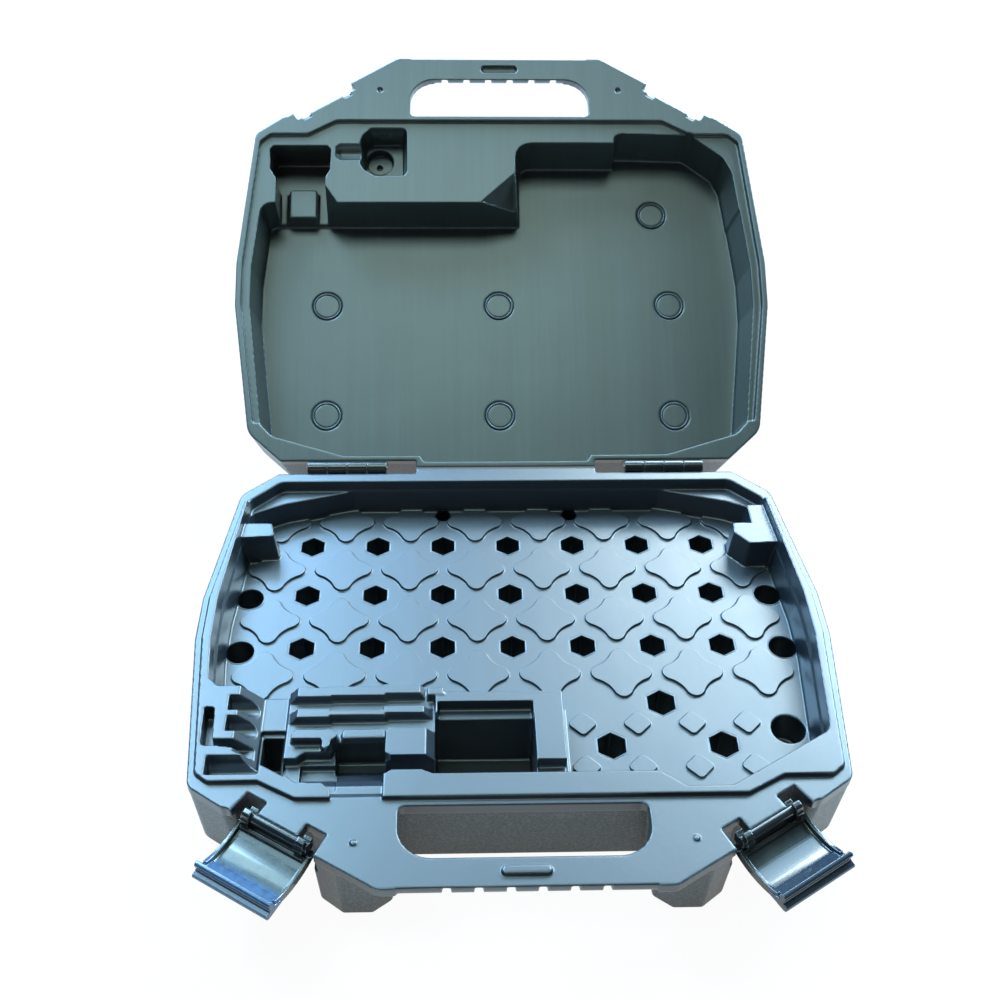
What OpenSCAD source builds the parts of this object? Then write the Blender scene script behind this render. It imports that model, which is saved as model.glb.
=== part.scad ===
// Hard tool case, blow moulded, shown open with both latches hanging.
// X runs to the right, +Y to the hinge, +Z up. The origin is on the underside of the base.
// Each half is drawn in plan coordinates: x to the right, d forward from the hinge axis,
// h away from the parting plane, so the base's h points down and the lid's h points up.

/* [Case] */
// Depth of the base from its rim to the surface it stands on
base_depth = 52; // [48:1:60]
// Depth of the lid from its rim to its top
lid_depth = 47; // [44:1:54]
// Distance from the origin back to the hinge axis
hinge_y = 150; // [140:1:160]
// Opening angle of the lid, from closed
lid_angle = 147; // [100:1:150]
// Gap between the two rims when the case is closed
closing_gap = 0.4; // [0.3:0.1:0.8]
// Height of the raised seat inside the base's rim
seat_rise = 3; // [2:0.5:3.5]

/* [Tray] */
// Depth of the tray floor below the rim
tray_depth = 25; // [23:1:28]
// Width across the flats of a hexagonal well
hex_flats = 15; // [12:0.5:16]
// Depth of a well below the tray floor
well_depth = 22; // [10:1:23]
// Height of the raised tiles on the tray floor
tile_rise = 1.6; // [1:0.2:2.5]

/* [Lid inside] */
// Depth of the lid's hollow below its rim
lid_hollow = 38; // [34:1:40]
// Diameter of the round marks where the lid's two walls are joined
weld_dia = 22; // [18:1:26]

/* [Handle] */
// Width of the hand opening
grip_w = 133; // [120:1:140]
// Width of the handle bar, front to back
bar_w = 17.2; // [15:0.2:20]
// Number of grip notches on each half of the handle
grip_notches = 6; // [4:2:8]

/* [Hinges] */
// Diameter of a hinge knuckle
knuckle_dia = 9; // [8:0.5:10]
// Length of a hinge knuckle
knuckle_len = 13.2; // [12:0.2:13.4]
// Diameter of a hinge pin
pin_dia = 3; // [2.5:0.5:4]

/* [Latches] */
// Width of a latch
latch_w = 46; // [42:1:48]
// Opening angle of a latch, from clipped to hanging
latch_angle = 95; // [60:1:100]
// Diameter of the bar that a latch clips on
rod_dia = 6.6; // [6:0.2:6.8]
// Thickness of the latch plate
latch_t = 2.2; // [1.8:0.2:2.6]

/* [Hidden] */

base_colour = [0.55, 0.66, 0.76];
lid_colour = [0.38, 0.46, 0.45];
fitting_colour = [0.10, 0.11, 0.12];
steel_colour = [0.70, 0.71, 0.72];

corner_steps = 4;
running_fit = 0.05;
seat_sink = seat_rise + 0.5;

// Plan of the case body at the rim, right half from the hinge side to the front
body_right = [[150, 0.5], [178.4, 26], [190.6, 121], [190.7, 153], [180, 257], [159.6, 270.8]];
body_draft = 2.5;
rear_draft = 6;
front_draft = 0.4;
front_wall = 270.8;

// Handle and latch corner of the flange, right half
corner = [180, 257];
handle_end = [76, 320];
flange_t = 7;
grip_back = 271.3;
grip_front = 302.2;
bar_flat = 2.5;

// Latch frame: u along the diagonal front edge, v out of the case
latch_slope = atan2(handle_end.y - corner.y, corner.x - handle_end.x);
latch_mid = [131.1, 284.9];
rod_v = -2.5;
rod_h = 3.6;
rod_len = 42;
slot_in = 13;
slot_out = 25.5;
slot_back = -12;
slot_depth = 20;
catch_v = -4.6;
catch_top = 30.3;

// Hinge zone: the rims step back here to make room for the knuckles
hinge_in = 62;
hinge_out = 150;
hinge_step = 5.3;
knuckle_x = 82;
knuckle_gap = 0.4;
leaf_back = 8;
leaf_foot = 12;
leaf_top = 1.5;

// Wells and tiles of the tray
cell_x = 43.5;
cell_d = 44.5;
first_row = 51.5;
tile_diag = 20.4;
tile_round = 5;

function unit(v) = v / norm(v);
function wrap(a) = a > 180 ? a - 360 : a < -180 ? a + 360 : a;
function mirrored(p) = [for (i = [len(p) - 1:-1:0]) [-p[i].x, p[i].y]];

// A closed plan with each corner turned into an arc of a few straight steps
function rounded(p, r, steps = corner_steps) = [
    for (i = [0:len(p) - 1])
        let (
            v = p[i],
            a = unit(p[(i + len(p) - 1) % len(p)] - v),
            b = unit(p[(i + 1) % len(p)] - v),
            rad = is_list(r) ? r[i] : r,
            half = acos(a * b) / 2,
            c = v + unit(a + b) * rad / sin(half),
            t1 = v + a * rad / tan(half) - c,
            t2 = v + b * rad / tan(half) - c,
            a1 = atan2(t1.y, t1.x),
            turn = wrap(atan2(t2.y, t2.x) - a1)
        )
        for (k = [0:steps])
            c + rad * [cos(a1 + turn * k / steps), sin(a1 + turn * k / steps)]
];

// A counter-clockwise plan with every side moved inwards
function inset(p, t) = [
    for (i = [0:len(p) - 1])
        let (
            v = p[i],
            e1 = unit(v - p[(i + len(p) - 1) % len(p)]),
            e2 = unit(p[(i + 1) % len(p)] - v),
            n1 = [-e1.y, e1.x],
            n2 = [-e2.y, e2.x],
            t1 = is_list(t) ? t[(i + len(p) - 1) % len(p)] : t,
            t2 = is_list(t) ? t[i] : t,
            det = n1.x * n2.y - n1.y * n2.x
        )
        v + [t1 * n2.y - t2 * n1.y, n1.x * t2 - n2.x * t1] / det
];

// A solid between two convex plans with the same number of corners, h1 below h2
module loft(p, h1, q, h2) {
    n = len(p);
    polyhedron(
        points = concat([for (c = p) [c.x, c.y, h1]], [for (c = q) [c.x, c.y, h2]]),
        faces = concat(
            [[for (i = [0:n - 1]) i]],
            [[for (i = [n - 1:-1:0]) n + i]],
            [for (i = [0:n - 1]) [i, n + i, n + (i + 1) % n, (i + 1) % n]]
        )
    );
}

// A convex hollow or block with drafted walls: plan p at h1, moved in by t at h2
module drafted(p, r1, h1, t, r2, h2) {
    if (h1 < h2)
        loft(rounded(p, r1), h1, rounded(inset(p, t), r2), h2);
    else
        loft(rounded(inset(p, t), r2), h2, rounded(p, r1), h1);
}

module slab(p, h1, h2) {
    translate([0, 0, h1]) linear_extrude(h2 - h1) polygon(p);
}

module box(low, high) {
    translate(low) cube(high - low);
}

module both_sides() {
    children();
    mirror([1, 0, 0]) children();
}

// Puts a half drawn in plan coordinates in its place
module in_base() {
    translate([0, hinge_y, base_depth]) rotate([180, 0, 0]) children();
}

module in_lid() {
    translate([0, hinge_y, base_depth]) rotate([-lid_angle, 0, 0]) mirror([0, 1, 0]) children();
}

// The latch frame on the left diagonal, in plan coordinates: x is u, y is v
module at_latch(side) {
    mirror([side > 0 ? 1 : 0, 0, 0]) translate([-latch_mid.x, latch_mid.y, 0]) rotate([0, 0, latch_slope]) children();
}

// Outline shared by both halves, with the handle and the stepped diagonals
flange_right = [
    [hinge_in, 0.5], [hinge_in, hinge_step], [hinge_out, hinge_step], [178.4, 26],
    [190.6, 121], [190.7, 153], corner, [157, 271], [108, 300.6], handle_end
];

module flange_outline() {
    polygon(rounded(concat(flange_right, mirrored(flange_right)),
        concat([0.5, 0.5, 0.5, 6, 20, 20, 8, 0.5, 0.5, 10], [10, 0.5, 0.5, 8, 20, 20, 6, 0.5, 0.5, 0.5])));
}

// The hand opening: tight corners towards the case, wide ones along the bar
module grip_opening(h1, h2) {
    w = grip_w / 2;
    slab(rounded([[-w, grip_back], [w, grip_back], [w, grip_front], [-w, grip_front]], [4, 4, 18, 18], 6), h1, h2);
}

// Handle bar: flat on the parting plane, rounded on its outside
module handle_bar() {
    r = bar_w / 2;
    notch_pitch = 16.3;
    notch_w = 4.5;
    notch_cut = 2.4;
    translate([0, grip_front + r, 0]) difference() {
        rotate([90, 0, 90]) linear_extrude(2 * handle_end.x, center = true) bar_profile(r);
        for (i = [0:grip_notches - 1])
            translate([(i - (grip_notches - 1) / 2) * notch_pitch, 0, 0]) rotate([90, 0, 90])
                linear_extrude(notch_w, center = true) difference() {
                    translate([-r - 1, 1.2]) square([2 * r + 2, 2 * r]);
                    bar_profile(r - notch_cut);
                }
    }
}

module bar_profile(r) {
    intersection() {
        translate([0, bar_flat]) circle(r = r, $fn = 48);
        translate([-r - 1, bar_flat]) square([2 * r + 2, r + 1]);
    }
    translate([-r, 0]) square([2 * r, bar_flat + 0.01]);
}

// Solid outside form of a half: body, flange, handle and the two corners that carry it
module half_envelope(depth) {
    body = concat(body_right, mirrored(body_right));
    drafts = [for (i = [0:len(body) - 1]) i == len(body) - 1 ? rear_draft : i == 5 ? front_draft : body_draft];
    radii = [6, 14, 20, 20, 8, 5, 5, 8, 20, 20, 14, 6];
    bottom_edge = 3;
    difference() {
        union() {
            drafted(body, radii, 0, drafts, radii, depth - bottom_edge);
            loft(rounded(inset(body, drafts), radii), depth - bottom_edge,
                rounded(inset(body, drafts + [for (d = drafts) bottom_edge]), 4), depth);
        }
        both_sides() box([hinge_in, -1, -1], [hinge_out + 10, hinge_step, depth]);
    }
    difference() {
        linear_extrude(flange_t) flange_outline();
        box([-200, -1, -1], [200, front_wall - 20, flange_t + 1]);
        grip_opening(-1, flange_t + 1);
        box([-grip_w / 2, grip_front, -1], [grip_w / 2, handle_end.y + 1, flange_t + 1]);
    }
    handle_bar();
}

// Foot under each end of the base's handle
module foot() {
    plan = [[68, 262], [111, 262], [111, 297], [97, 307.5], [80, 307.5], [68, 299]];
    drafted(plan, 4, flange_t - 1, 2, 3, base_depth - 4);
    loft(rounded(inset(plan, 2), 3), base_depth - 4, rounded(inset(plan, 5), 1.5), base_depth);
}

module latch_slots(depth) {
    both_sides() slab([
        [slot_in, slot_back], [slot_out, slot_back], [slot_out + 1.5, 8], [slot_in, 8]
    ], -5, depth);
    box([-slot_out, slot_back, flange_t], [slot_out, 8, depth]);
    box([-slot_out, rod_v - 1, -5], [slot_out, 8, depth]);
}

// Rim inside which the base is raised and the lid is sunk, so that they register
seat_right = [[174.5, 34], [185.8, 121], [185.8, 153], [176.3, 250], [169, 256], [142, 256], [121, 267.2]];

module seat_outline(grow) {
    p = concat(seat_right, mirrored(seat_right));
    polygon(rounded(inset(p, -grow), [2, 20, 20, 5, 5, 3, 4, 4, 3, 5, 5, 20, 20, 2]));
}

// Outline of the tray's mouth, and of the part below the rear ledges
tray_right = [[153, 13], [173, 32], [181, 121], [181, 153], [174, 227], [113, 263]];
deep_right = [[105, 15], [150, 27], [171.5, 37], [178.5, 121], [178.5, 153], [171.8, 226], [112.5, 261]];
ledge_h = 8;

module tray_hollow() {
    mouth = concat(tray_right, mirrored(tray_right));
    deep = concat(deep_right, mirrored(deep_right));
    drafted(mouth, [8, 8, 20, 20, 8, 8, 8, 8, 20, 20, 8, 8], -6, 1.5, [8, 8, 20, 20, 8, 8, 8, 8, 20, 20, 8, 8], ledge_h);
    drafted(deep, 7, ledge_h - 0.5, 2.5, 5, tray_depth);
}

// Rounded square on its corner, hollowed a little towards the four wells around it
module tile(diag, r, bite) {
    linear_extrude(tile_rise + 1) difference() {
        polygon(rounded([[diag, 0], [0, diag], [-diag, 0], [0, -diag]], r, 3));
        for (i = [-1, 1], j = [-1, 1]) translate([i, j] * bite) circle(r = bite * 0.83, $fn = 48);
    }
}

module tray_tiles() {
    translate([0, 0, tray_depth - tile_rise]) {
        for (row = [0:3], col = [-3.5:3.5])
            translate([col * cell_x, first_row + (row - 0.5) * cell_d, 0]) tile(tile_diag, tile_round, 22);
        for (row = [0, 1], col = [0:3])
            translate([38.5 + col * 32.3, 201 + row * 30.5, 0]) tile(8.6, 2.6, 15.6);
    }
}

module well(pos, r, sides) {
    translate([pos.x, pos.y, tray_depth - 1]) cylinder(h = well_depth + 1, r = r, $fn = sides);
}

module tray_wells() {
    hex_r = hex_flats / sqrt(3);
    for (row = [0:2], col = [-3:3])
        translate([col * cell_x, first_row + row * cell_d, 0]) rotate(30) well([0, 0], hex_r, 6);
    for (p = [[86.8, 185.4], [54.3, 216.1], [119.4, 216.1]])
        translate([p.x, p.y, 0]) rotate(30) well([0, 0], hex_r + 0.6, 6);
    for (side = [-1, 1]) {
        well([side * 167, 98.5], 8.6, 40);
        well([side * 168.3, 143], 8.8, 40);
        well([side * cell_x, 21.5], 5, 32);
    }
    well([159.2, 205.6], 10, 48);
}

// Blocks in the rear corners of the tray
module rear_blocks() {
    drafted([[-186, 49], [-154, 49], [-150.6, 64.6], [-186, 66.8]], 2, tray_depth + 1, 2, 2, 3);
    drafted([[147, 51.4], [190, 51.4], [190, 73], [155.9, 74.6], [146.2, 63]], 2, tray_depth + 1, 2, 2, 3);
    drafted([[159, 34], [190, 34], [190, 60], [159.5, 60]], 2, tray_depth + 1, 2, 2, 3);
}

// Solid ground of the tool compartments, at their different levels
pad_x = -158.5;
mid_x = -145.5;
rib_x = -131;
post_x = 25.5;
rim_x = -47.5;
mid_level = 10;
slot_floor = 6.2;
rib_top = 0.5;
foot_h = slot_floor + 0.5;

// Profile in d and h, run across the case
module across(x1, x2) {
    translate([x1, 0, 0]) rotate([90, 0, 90]) linear_extrude(x2 - x1) children();
}

module tool_ground() {
    bottom = tray_depth + 1;
    slab([[-186, 184], [-178.5, 184], [-171.7, 190.9], [pad_x, 191.4], [pad_x, 258], [-186, 258]], -seat_rise, bottom);
    translate([0, 258, 0]) rotate([90, 0, 0]) linear_extrude(258 - 191.4)
        polygon([[pad_x - 1, -seat_rise], [pad_x, -seat_rise], [mid_x, mid_level], [mid_x, bottom], [pad_x - 1, bottom]]);
    box([mid_x - 0.1, 190.8, mid_level], [rib_x + 0.1, 262, bottom]);
    box([rib_x, 189.8, slot_floor], [rim_x, 262, bottom]);
    box([rim_x - 0.1, 194.8, rib_top], [post_x, 262, bottom]);
    box([post_x - 1, 199, 12], [post_x + 3, 262, bottom]);
    tool_ribs();
}

// Straight length of a rib: x1 to x2 at its top, spreading by s1 and s2 at its foot
module rib_run(x1, x2, d1, d2, s1, s2) {
    loft([[x1, d1], [x2, d1], [x2, d2], [x1, d2]], rib_top,
        [[x1 - s1, d1 - 0.9], [x2 + s2, d1 - 0.9], [x2 + s2, d2 + 0.9], [x1 - s1, d2 + 0.9]], foot_h);
}

// Two ribs with stepped widths, and the blocks that the tool's neck rests between
module tool_ribs() {
    end = 4.6;
    rib_run(-126, -107, 190.4, 197.2, end, 0.6);
    rib_run(-108, -76, 190.2, 196.4, 0.6, 0.6);
    rib_run(-77, -56, 188.8, 195.4, 0.6, 3);
    rib_run(-125.2, -107, 205.7, 211.8, end, 0.6);
    rib_run(-108, -75.5, 207, 210.6, 0.6, 0.6);
    rib_run(-76.5, -53.8, 204.6, 209.2, 0.6, 5.6);
    box([-52, 191.4, 0], [-42.4, 197, foot_h]);
    slab([[-127.3, 222.8], [-124.7, 220.4], [-105.9, 219.9], [-101.4, 222.8], [-101.9, 225.8], [-104.8, 227.2],
        [-105.6, 231.1], [-107.5, 233.6], [-109.6, 232.4], [-110.4, 226.5], [-126.4, 226.5], [-127.4, 225.2]],
        rib_top, foot_h);
    slab([[-99.4, 221], [-97.8, 219.2], [-76.6, 218.9], [-74.6, 221.4], [-74.6, 225.3], [-98.9, 225.4]], 2, foot_h);
    slab([[-74.6, 221.6], [-73.2, 219.8], [-53.2, 219.6], [rim_x, 219.6], [rim_x, 238], [-71.8, 238], [-74.6, 236.2]],
        rib_top, foot_h);
}

// Front lip between the tray and the raised edge, at the level of the seat
module front_lip() {
    slab([[-186, 252.6], [-144.9, 253.6], [-126.6, 253.4], [-121.6, 257.5], [-107.8, 257.7], [-102.2, 263.6],
        [-102.2, 270], [-186, 270]], -seat_rise, tray_depth + 1);
    slab([[-74.7, 252.6], [-70.4, 249.8], [-54.8, 249.8], [-48.6, 252.6], [74.5, 252.8], [81, 257], [88, 262.5],
        [114, 262.8], [114, 270], [-74.7, 270]], -seat_rise, tray_depth + 1);
}

// Round-bottomed notch that runs out on the ramp
module ramp_notch(x, d, r) {
    translate([x, d, 3]) rotate([0, 90, 0]) cylinder(h = mid_x + 3 - x, r = r, $fn = 40);
    box([x, d - r, -8], [mid_x + 3, d + r, 3]);
}

module tool_pockets() {
    ramp_notch(-163.8, 203.2, 5.2);
    ramp_notch(-163.6, 217.6, 5.2);
    ramp_notch(-171.3, 245.6, 6.1);
    // L-shaped slot for a bent key
    slab(rounded([[-177, 205.8], [-171.3, 206.8], [-169.8, 228.5], [mid_x, 228.5], [mid_x, 236], [-168, 232.8],
        [-175.8, 232.4]], [1.6, 1.6, 1.2, 1, 1, 1, 2], 3), -8, 8);
    // deep slot at the foot of the ramp
    box([-144.1, 217.2, -8], [-132.8, 243.5, 44]);
    box([mid_x, 214.4, mid_level - 1], [rib_x - 0.8, 252.5, mid_level + 3]);
    // neck and body of the main tool, open towards the handle
    slab([[rib_x - 0.2, 235.4], [-124, 235.4], [-119.8, 231.7], [-102.8, 231.7], [-102.8, 256.4], [-119, 256.4],
        [-122.6, 253], [rib_x - 0.2, 253]], 4, 13);
    slab([[-108.2, 233.4], [-105, 231], [-104.2, 227], [-101.2, 226], [-101.2, 257.4], [-108.2, 257.4]], -8, 13);
    across(-122, -101) polygon([[236, 5], [236, 17], [244, 17], [256.4, 8], [256.4, 5]]);
    across(-102.9, -74.7) polygon([[225.5, -8], [225.5, 26], [233, 26], [240, 17], [249, 9.5], [258, 4], [265.6, 0],
        [275, 0], [275, -8]]);
    translate([-88, 237, 18]) cylinder(h = 12, r = 1.9, $fn = 24);
    // gap in front of the square block, and the deep square pocket
    box([-76, 238, -8], [-46, 249.8, 26]);
    slab(rounded([[-47.4, 209.3], [8.6, 209.3], [8.6, 252], [-47.4, 252]], 1.5, 3), -8, 46);
    box([-46, 201.8, -8], [8.4, 210, 8]);
    box([9.2, 241.8, -8], [post_x + 1, 252.4, 8]);
    // chamfer along the ends of the rib and the block
    translate([rim_x + 0.1, 240, 0]) rotate([90, 0, 0]) linear_extrude(42)
        polygon([[0, -8], [-5.4, -8], [-5.4, 0], [0, 6]]);
}

module base_half() {
    color(base_colour) in_base() difference() {
        union() {
            difference() {
                union() {
                    half_envelope(base_depth);
                    both_sides() foot();
                    translate([0, 0, -seat_rise]) linear_extrude(seat_rise + 1) intersection() {
                        seat_outline(0);
                        translate([-200, 34]) square([400, 300]);
                    }
                }
                tray_hollow();
            }
            intersection() {
                union() {
                    tool_ground();
                    front_lip();
                    rear_blocks();
                }
                linear_extrude(200, center = true) seat_outline(-0.1);
            }
            tray_tiles();
            // bar that registers the two handle halves, and the two pips beside it
            slab(rounded([[-12.7, 308.3], [12.7, 308.3], [12.7, 313.2], [-12.7, 313.2]], 2.3), -2.6, 2);
            both_sides() translate([89, 293.2, -1]) cylinder(h = 3, r = 1.4, $fn = 24);
        }
        tray_wells();
        tool_pockets();
        for (side = [-1, 1]) at_latch(side) latch_slots(slot_depth);
        for (side = [-1, 1]) at_latch(side) latch_rod_body(0);
        both_sides() leaf_plate();
    }
}

// Outline of the lid's hollow: main field, two front bays and the shallow rear bay
lid_main_right = [[111.5, 8.6], [162, 23.5], [171, 33], [181, 121], [181, 152], [175.5, 203.4]];
bay_corner = [84, 180];

module lid_hollows() {
    main = concat(lid_main_right, mirrored(lid_main_right));
    bay_right = [bay_corner, [177.5, 180], [172, 228], [166, 240], [142.5, 258.5], [89.6, 260], [84, 257]];
    bay_mid = [[10.6, 180], [100, 180], [100, 252], [10.6, 252]];
    rear_bay = [[-63, 14], [-57, 4.3], [57, 4.3], [63, 14]];
    drafted(main, 9, -2, 3.6, 6, lid_hollow);
    drafted(bay_right, [2, 3, 20, 8, 8, 5, 5], -2, 3.6, [2, 3, 16, 5, 5, 3, 3], lid_hollow);
    drafted(bay_mid, [2, 2, 3, 12], -2, 3.6, [2, 2, 2, 9], lid_hollow);
    drafted(rear_bay, 2, -2, 3.6, 2, lid_hollow - 8);
    // facet on the inner corner of the slab
    polyhedron(
        points = [[-16, 203.6, 3], [10.8, 228.4, 3], [12, 196, 3], [10.8, 201.6, 17]],
        faces = [[0, 2, 1], [0, 1, 3], [1, 2, 3], [2, 0, 3]]
    );
}

// Stepped pocket and the small chamfered pocket in the lid's front left slab
module lid_pockets() {
    difference() {
        union() {
            slab(rounded([[-167.6, 249], [-169.8, 246], [-169.4, 230], [-165, 223], [-164.4, 190], [-128.7, 190],
                [-128.7, 223.8], [-125.5, 229.4], [-125.2, 246], [-127.4, 249]], 1, 2), -2, 30);
            // slanted face that widens the neck on the right
            polyhedron(
                points = [[-129.6, 219, -1.5], [-118.6, 202.4, -1.5], [-118.6, 190, -1.5], [-129.6, 190, -1.5],
                    [-129.6, 202.4, 22], [-129.6, 190, 22]],
                faces = [[3, 2, 1, 0], [4, 5, 3, 0], [5, 2, 3], [1, 4, 0], [2, 5, 4, 1]]
            );
        }
        translate([0, 223.6, 0]) rotate([90, 0, 0]) linear_extrude(25.6)
            polygon([[-162.5, 40], [-156.4, 20], [-137, 20], [-135.4, 40]]);
    }
    translate([-118.6, 243.8, -1.6]) rotate([0, 90, 0]) cylinder(h = 18, r = 6.9, $fn = 40);
    translate([-121.6, 243.8, -1.6]) rotate([0, 90, 0]) cylinder(h = 3.1, r1 = 4.6, r2 = 6.9, $fn = 40);
    drafted([[-104, 234.4], [-101.6, 229.8], [-93.4, 224], [-68.8, 224], [-68.8, 264], [-95.8, 264], [-102, 258.2],
        [-104, 253]], [3, 3, 3, 4, 4, 3, 3, 3], -2, 3.4, [2, 2, 2, 3, 3, 2, 2, 2], 20);
    translate([-90, 246.6, 18]) cylinder(h = 10, r = 10, $fn = 48);
    translate([-90.6, 246.6, 26]) cylinder(h = 5, r = 1.7, $fn = 24);
}

module weld_marks() {
    for (p = [[-129, 136], [-1.5, 136], [126, 136], [-128, 50.5], [-2, 50], [126, 49.5], [116, 210]])
        translate([p.x, p.y, lid_hollow - 0.1]) difference() {
            cylinder(h = 1.3, d = weld_dia, $fn = 64);
            translate([0, 0, -1]) cylinder(h = 3, d = weld_dia - 3.6, $fn = 64);
        }
}

// Block that the closed latch hooks over
module latch_catch() {
    box([-22, catch_v - 22, flange_t - 1], [22, catch_v, catch_top]);
}

module lid_half() {
    color(lid_colour) in_lid() translate([0, 0, closing_gap]) difference() {
        union() {
            half_envelope(lid_depth);
            for (side = [-1, 1]) at_latch(side) latch_catch();
        }
        // sunk seat
        translate([0, 0, -1]) linear_extrude(seat_sink + 1) intersection() {
            seat_outline(0.8);
            translate([-200, 31]) square([400, 300]);
        }
        lid_hollows();
        translate([0, 0, seat_sink]) lid_pockets();
        weld_marks();
        // seats of the registering bar and pips
        slab(rounded([[-13.4, 307.6], [13.4, 307.6], [13.4, 313.9], [-13.4, 313.9]], 2.6), -1, 3.2);
        both_sides() translate([89, 293.2, -1]) cylinder(h = 2.6, r = 2, $fn = 24);
        // recessed edge that the latch reaches over
        for (side = [-1, 1]) at_latch(side) {
            box([-24.5, catch_v, -1], [24.5, 9, lid_depth + 1]);
            box([-24.5, catch_v - 6, catch_top], [24.5, 9, lid_depth + 1]);
            for (s = [-1, 1]) box([s * 17.2 - 3.2, -7.4, -1], [s * 17.2 + 3.2, 0, 2.4]);
        }
        both_sides() translate([0, 0, -closing_gap]) leaf_plate();
    }
}

// Hinge leaves: a plate let into the rear wall and two knuckles each
module leaf_plate() {
    box([knuckle_x + 0.2, hinge_step - 1, leaf_top], [knuckle_x + 53.6, leaf_back, leaf_foot]);
}

module knuckle(k, bore) {
    x = knuckle_x + k * (knuckle_len + knuckle_gap);
    r = knuckle_dia / 2;
    difference() {
        union() {
            translate([x, 0, 0]) rotate([0, 90, 0]) cylinder(h = knuckle_len, r = r, $fn = 48);
            box([x, 0, leaf_top], [x + knuckle_len, hinge_step, r]);
        }
        translate([x - 1, 0, 0]) rotate([0, 90, 0]) cylinder(h = knuckle_len + 2, r = bore, $fn = 32);
    }
}

module hinge_leaf(knuckles, bore) {
    box([knuckle_x + 0.2, hinge_step - 0.1, leaf_top], [knuckle_x + 53.6, leaf_back, leaf_foot]);
    for (k = knuckles) knuckle(k, bore);
}

module base_hinge_leaf(side) {
    color(fitting_colour) in_base() mirror([side < 0 ? 1 : 0, 0, 0]) hinge_leaf([0, 2], pin_dia / 2);
}

module lid_hinge_leaf(side) {
    color(fitting_colour) in_lid() mirror([side < 0 ? 1 : 0, 0, 0]) hinge_leaf([1, 3], pin_dia / 2 + running_fit);
}

module base_hinge_leaf_left() { base_hinge_leaf(-1); }
module base_hinge_leaf_right() { base_hinge_leaf(1); }
module lid_hinge_leaf_left() { lid_hinge_leaf(-1); }
module lid_hinge_leaf_right() { lid_hinge_leaf(1); }

module hinge_pin(side) {
    length = 4 * knuckle_len + 3 * knuckle_gap + 1;
    color(steel_colour) in_base() mirror([side < 0 ? 1 : 0, 0, 0])
        translate([knuckle_x - 0.5, 0, 0]) rotate([0, 90, 0]) cylinder(h = length, d = pin_dia, $fn = 32);
}

module hinge_pin_left() { hinge_pin(-1); }
module hinge_pin_right() { hinge_pin(1); }

// Bar at the end of the tongue between the two slots
module latch_rod_body(grow) {
    translate([-rod_len / 2 - grow, rod_v, rod_h]) rotate([0, 90, 0])
        cylinder(h = rod_len + 2 * grow, r = rod_dia / 2 + grow, $fn = 40);
}

module latch_rod(side) {
    color(fitting_colour) in_base() at_latch(side) latch_rod_body(0);
}

module latch_rod_left() { latch_rod(-1); }
module latch_rod_right() { latch_rod(1); }

// Latch profile in its clipped position: x out of the case, y up, bar axis at the origin
arc_c = [-30.06, 14.35];
arc_r = 38.9;
hook_r = 5.4;
lip_h = 34.6;

module arc_band(r1, r2, a1, a2) {
    intersection() {
        difference() {
            circle(r = r2, $fn = 160);
            circle(r = r1, $fn = 160);
        }
        polygon([[0, 0], 2 * r2 * [cos(a1), sin(a1)], 2 * r2 * [1, 0], 2 * r2 * [cos(a2), sin(a2)]]);
    }
}

module plate_profile() {
    translate(arc_c) arc_band(arc_r - latch_t / 2, arc_r + latch_t / 2, -24.6, 33);
}

// Broad lip: a step on the plate, the hook that reaches over the lid, and the finger edge
module lip_profile() {
    polygon([[5.6, lip_h - 6.2], [5.2, lip_h + 4.6], [4.2, lip_h + 6.2], [2.4, lip_h + 6.6], [1.2, lip_h + 5.8],
        [0.9, lip_h + 3.2], [-0.2, lip_h + 2.4], [-1.4, lip_h + 2.9], [-3.8, lip_h + 2.9], [-4.7, lip_h + 1.8],
        [-4.7, lip_h], [0.6, lip_h], [4.1, lip_h - 6.2]]);
}

module rib_profile() {
    translate(arc_c) arc_band(arc_r - latch_t / 2 - 3, arc_r, -19, 30);
}

// Cross rib beside the bar
module ridge_profile() {
    translate(arc_c) arc_band(arc_r - latch_t / 2 - 2.4, arc_r, -16.5, -13);
}

module hook_profile() {
    difference() {
        union() {
            circle(r = hook_r, $fn = 48);
            polygon([[0, -hook_r], [5.5, -4.6], [7.8, 1], [3, 5.6], [0, 5.2]]);
            polygon([[-5.7, -1], [-5.7, 1.8], [-4.8, 3.2], [0, 4.6], [0, 0]]);
        }
        circle(r = rod_dia / 2 + running_fit, $fn = 48);
        polygon([[0, 0], [-12, -3], [-12, -14], [-1.5, -14]]);
        polygon([[-8, 3.5], [-2.8, 3.5], [-1.4, 7], [-8, 7]]);
    }
}

module along_u(u1, u2) {
    translate([u1, 0, 0]) rotate([90, 0, 90]) linear_extrude(u2 - u1) children();
}

module latch_body() {
    half = latch_w / 2;
    along_u(-half, half) plate_profile();
    along_u(-half - 0.8, half + 0.8) lip_profile();
    along_u(-half + 1, half - 1) ridge_profile();
    for (s = [-1, 1]) {
        along_u(s > 0 ? half - 2.2 : -half, s > 0 ? half : 2.2 - half) rib_profile();
        along_u(s > 0 ? 14.8 : -19.6, s > 0 ? 19.6 : -14.8) hook_profile();
    }
}

module latch(side) {
    color(fitting_colour) in_base() at_latch(side) translate([0, rod_v, rod_h])
        mirror([0, 0, 1]) rotate([-latch_angle, 0, 0]) latch_body();
}

module latch_left() { latch(-1); }
module latch_right() { latch(1); }

base_half();
lid_half();
base_hinge_leaf_left();
base_hinge_leaf_right();
lid_hinge_leaf_left();
lid_hinge_leaf_right();
hinge_pin_left();
hinge_pin_right();
latch_rod_left();
latch_rod_right();
latch_left();
latch_right();
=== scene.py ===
# Hard tool case, open, on a pale floor in a plain studio
import math

import bmesh
import bpy
import numpy as np
from mathutils import Matrix, Vector


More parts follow.
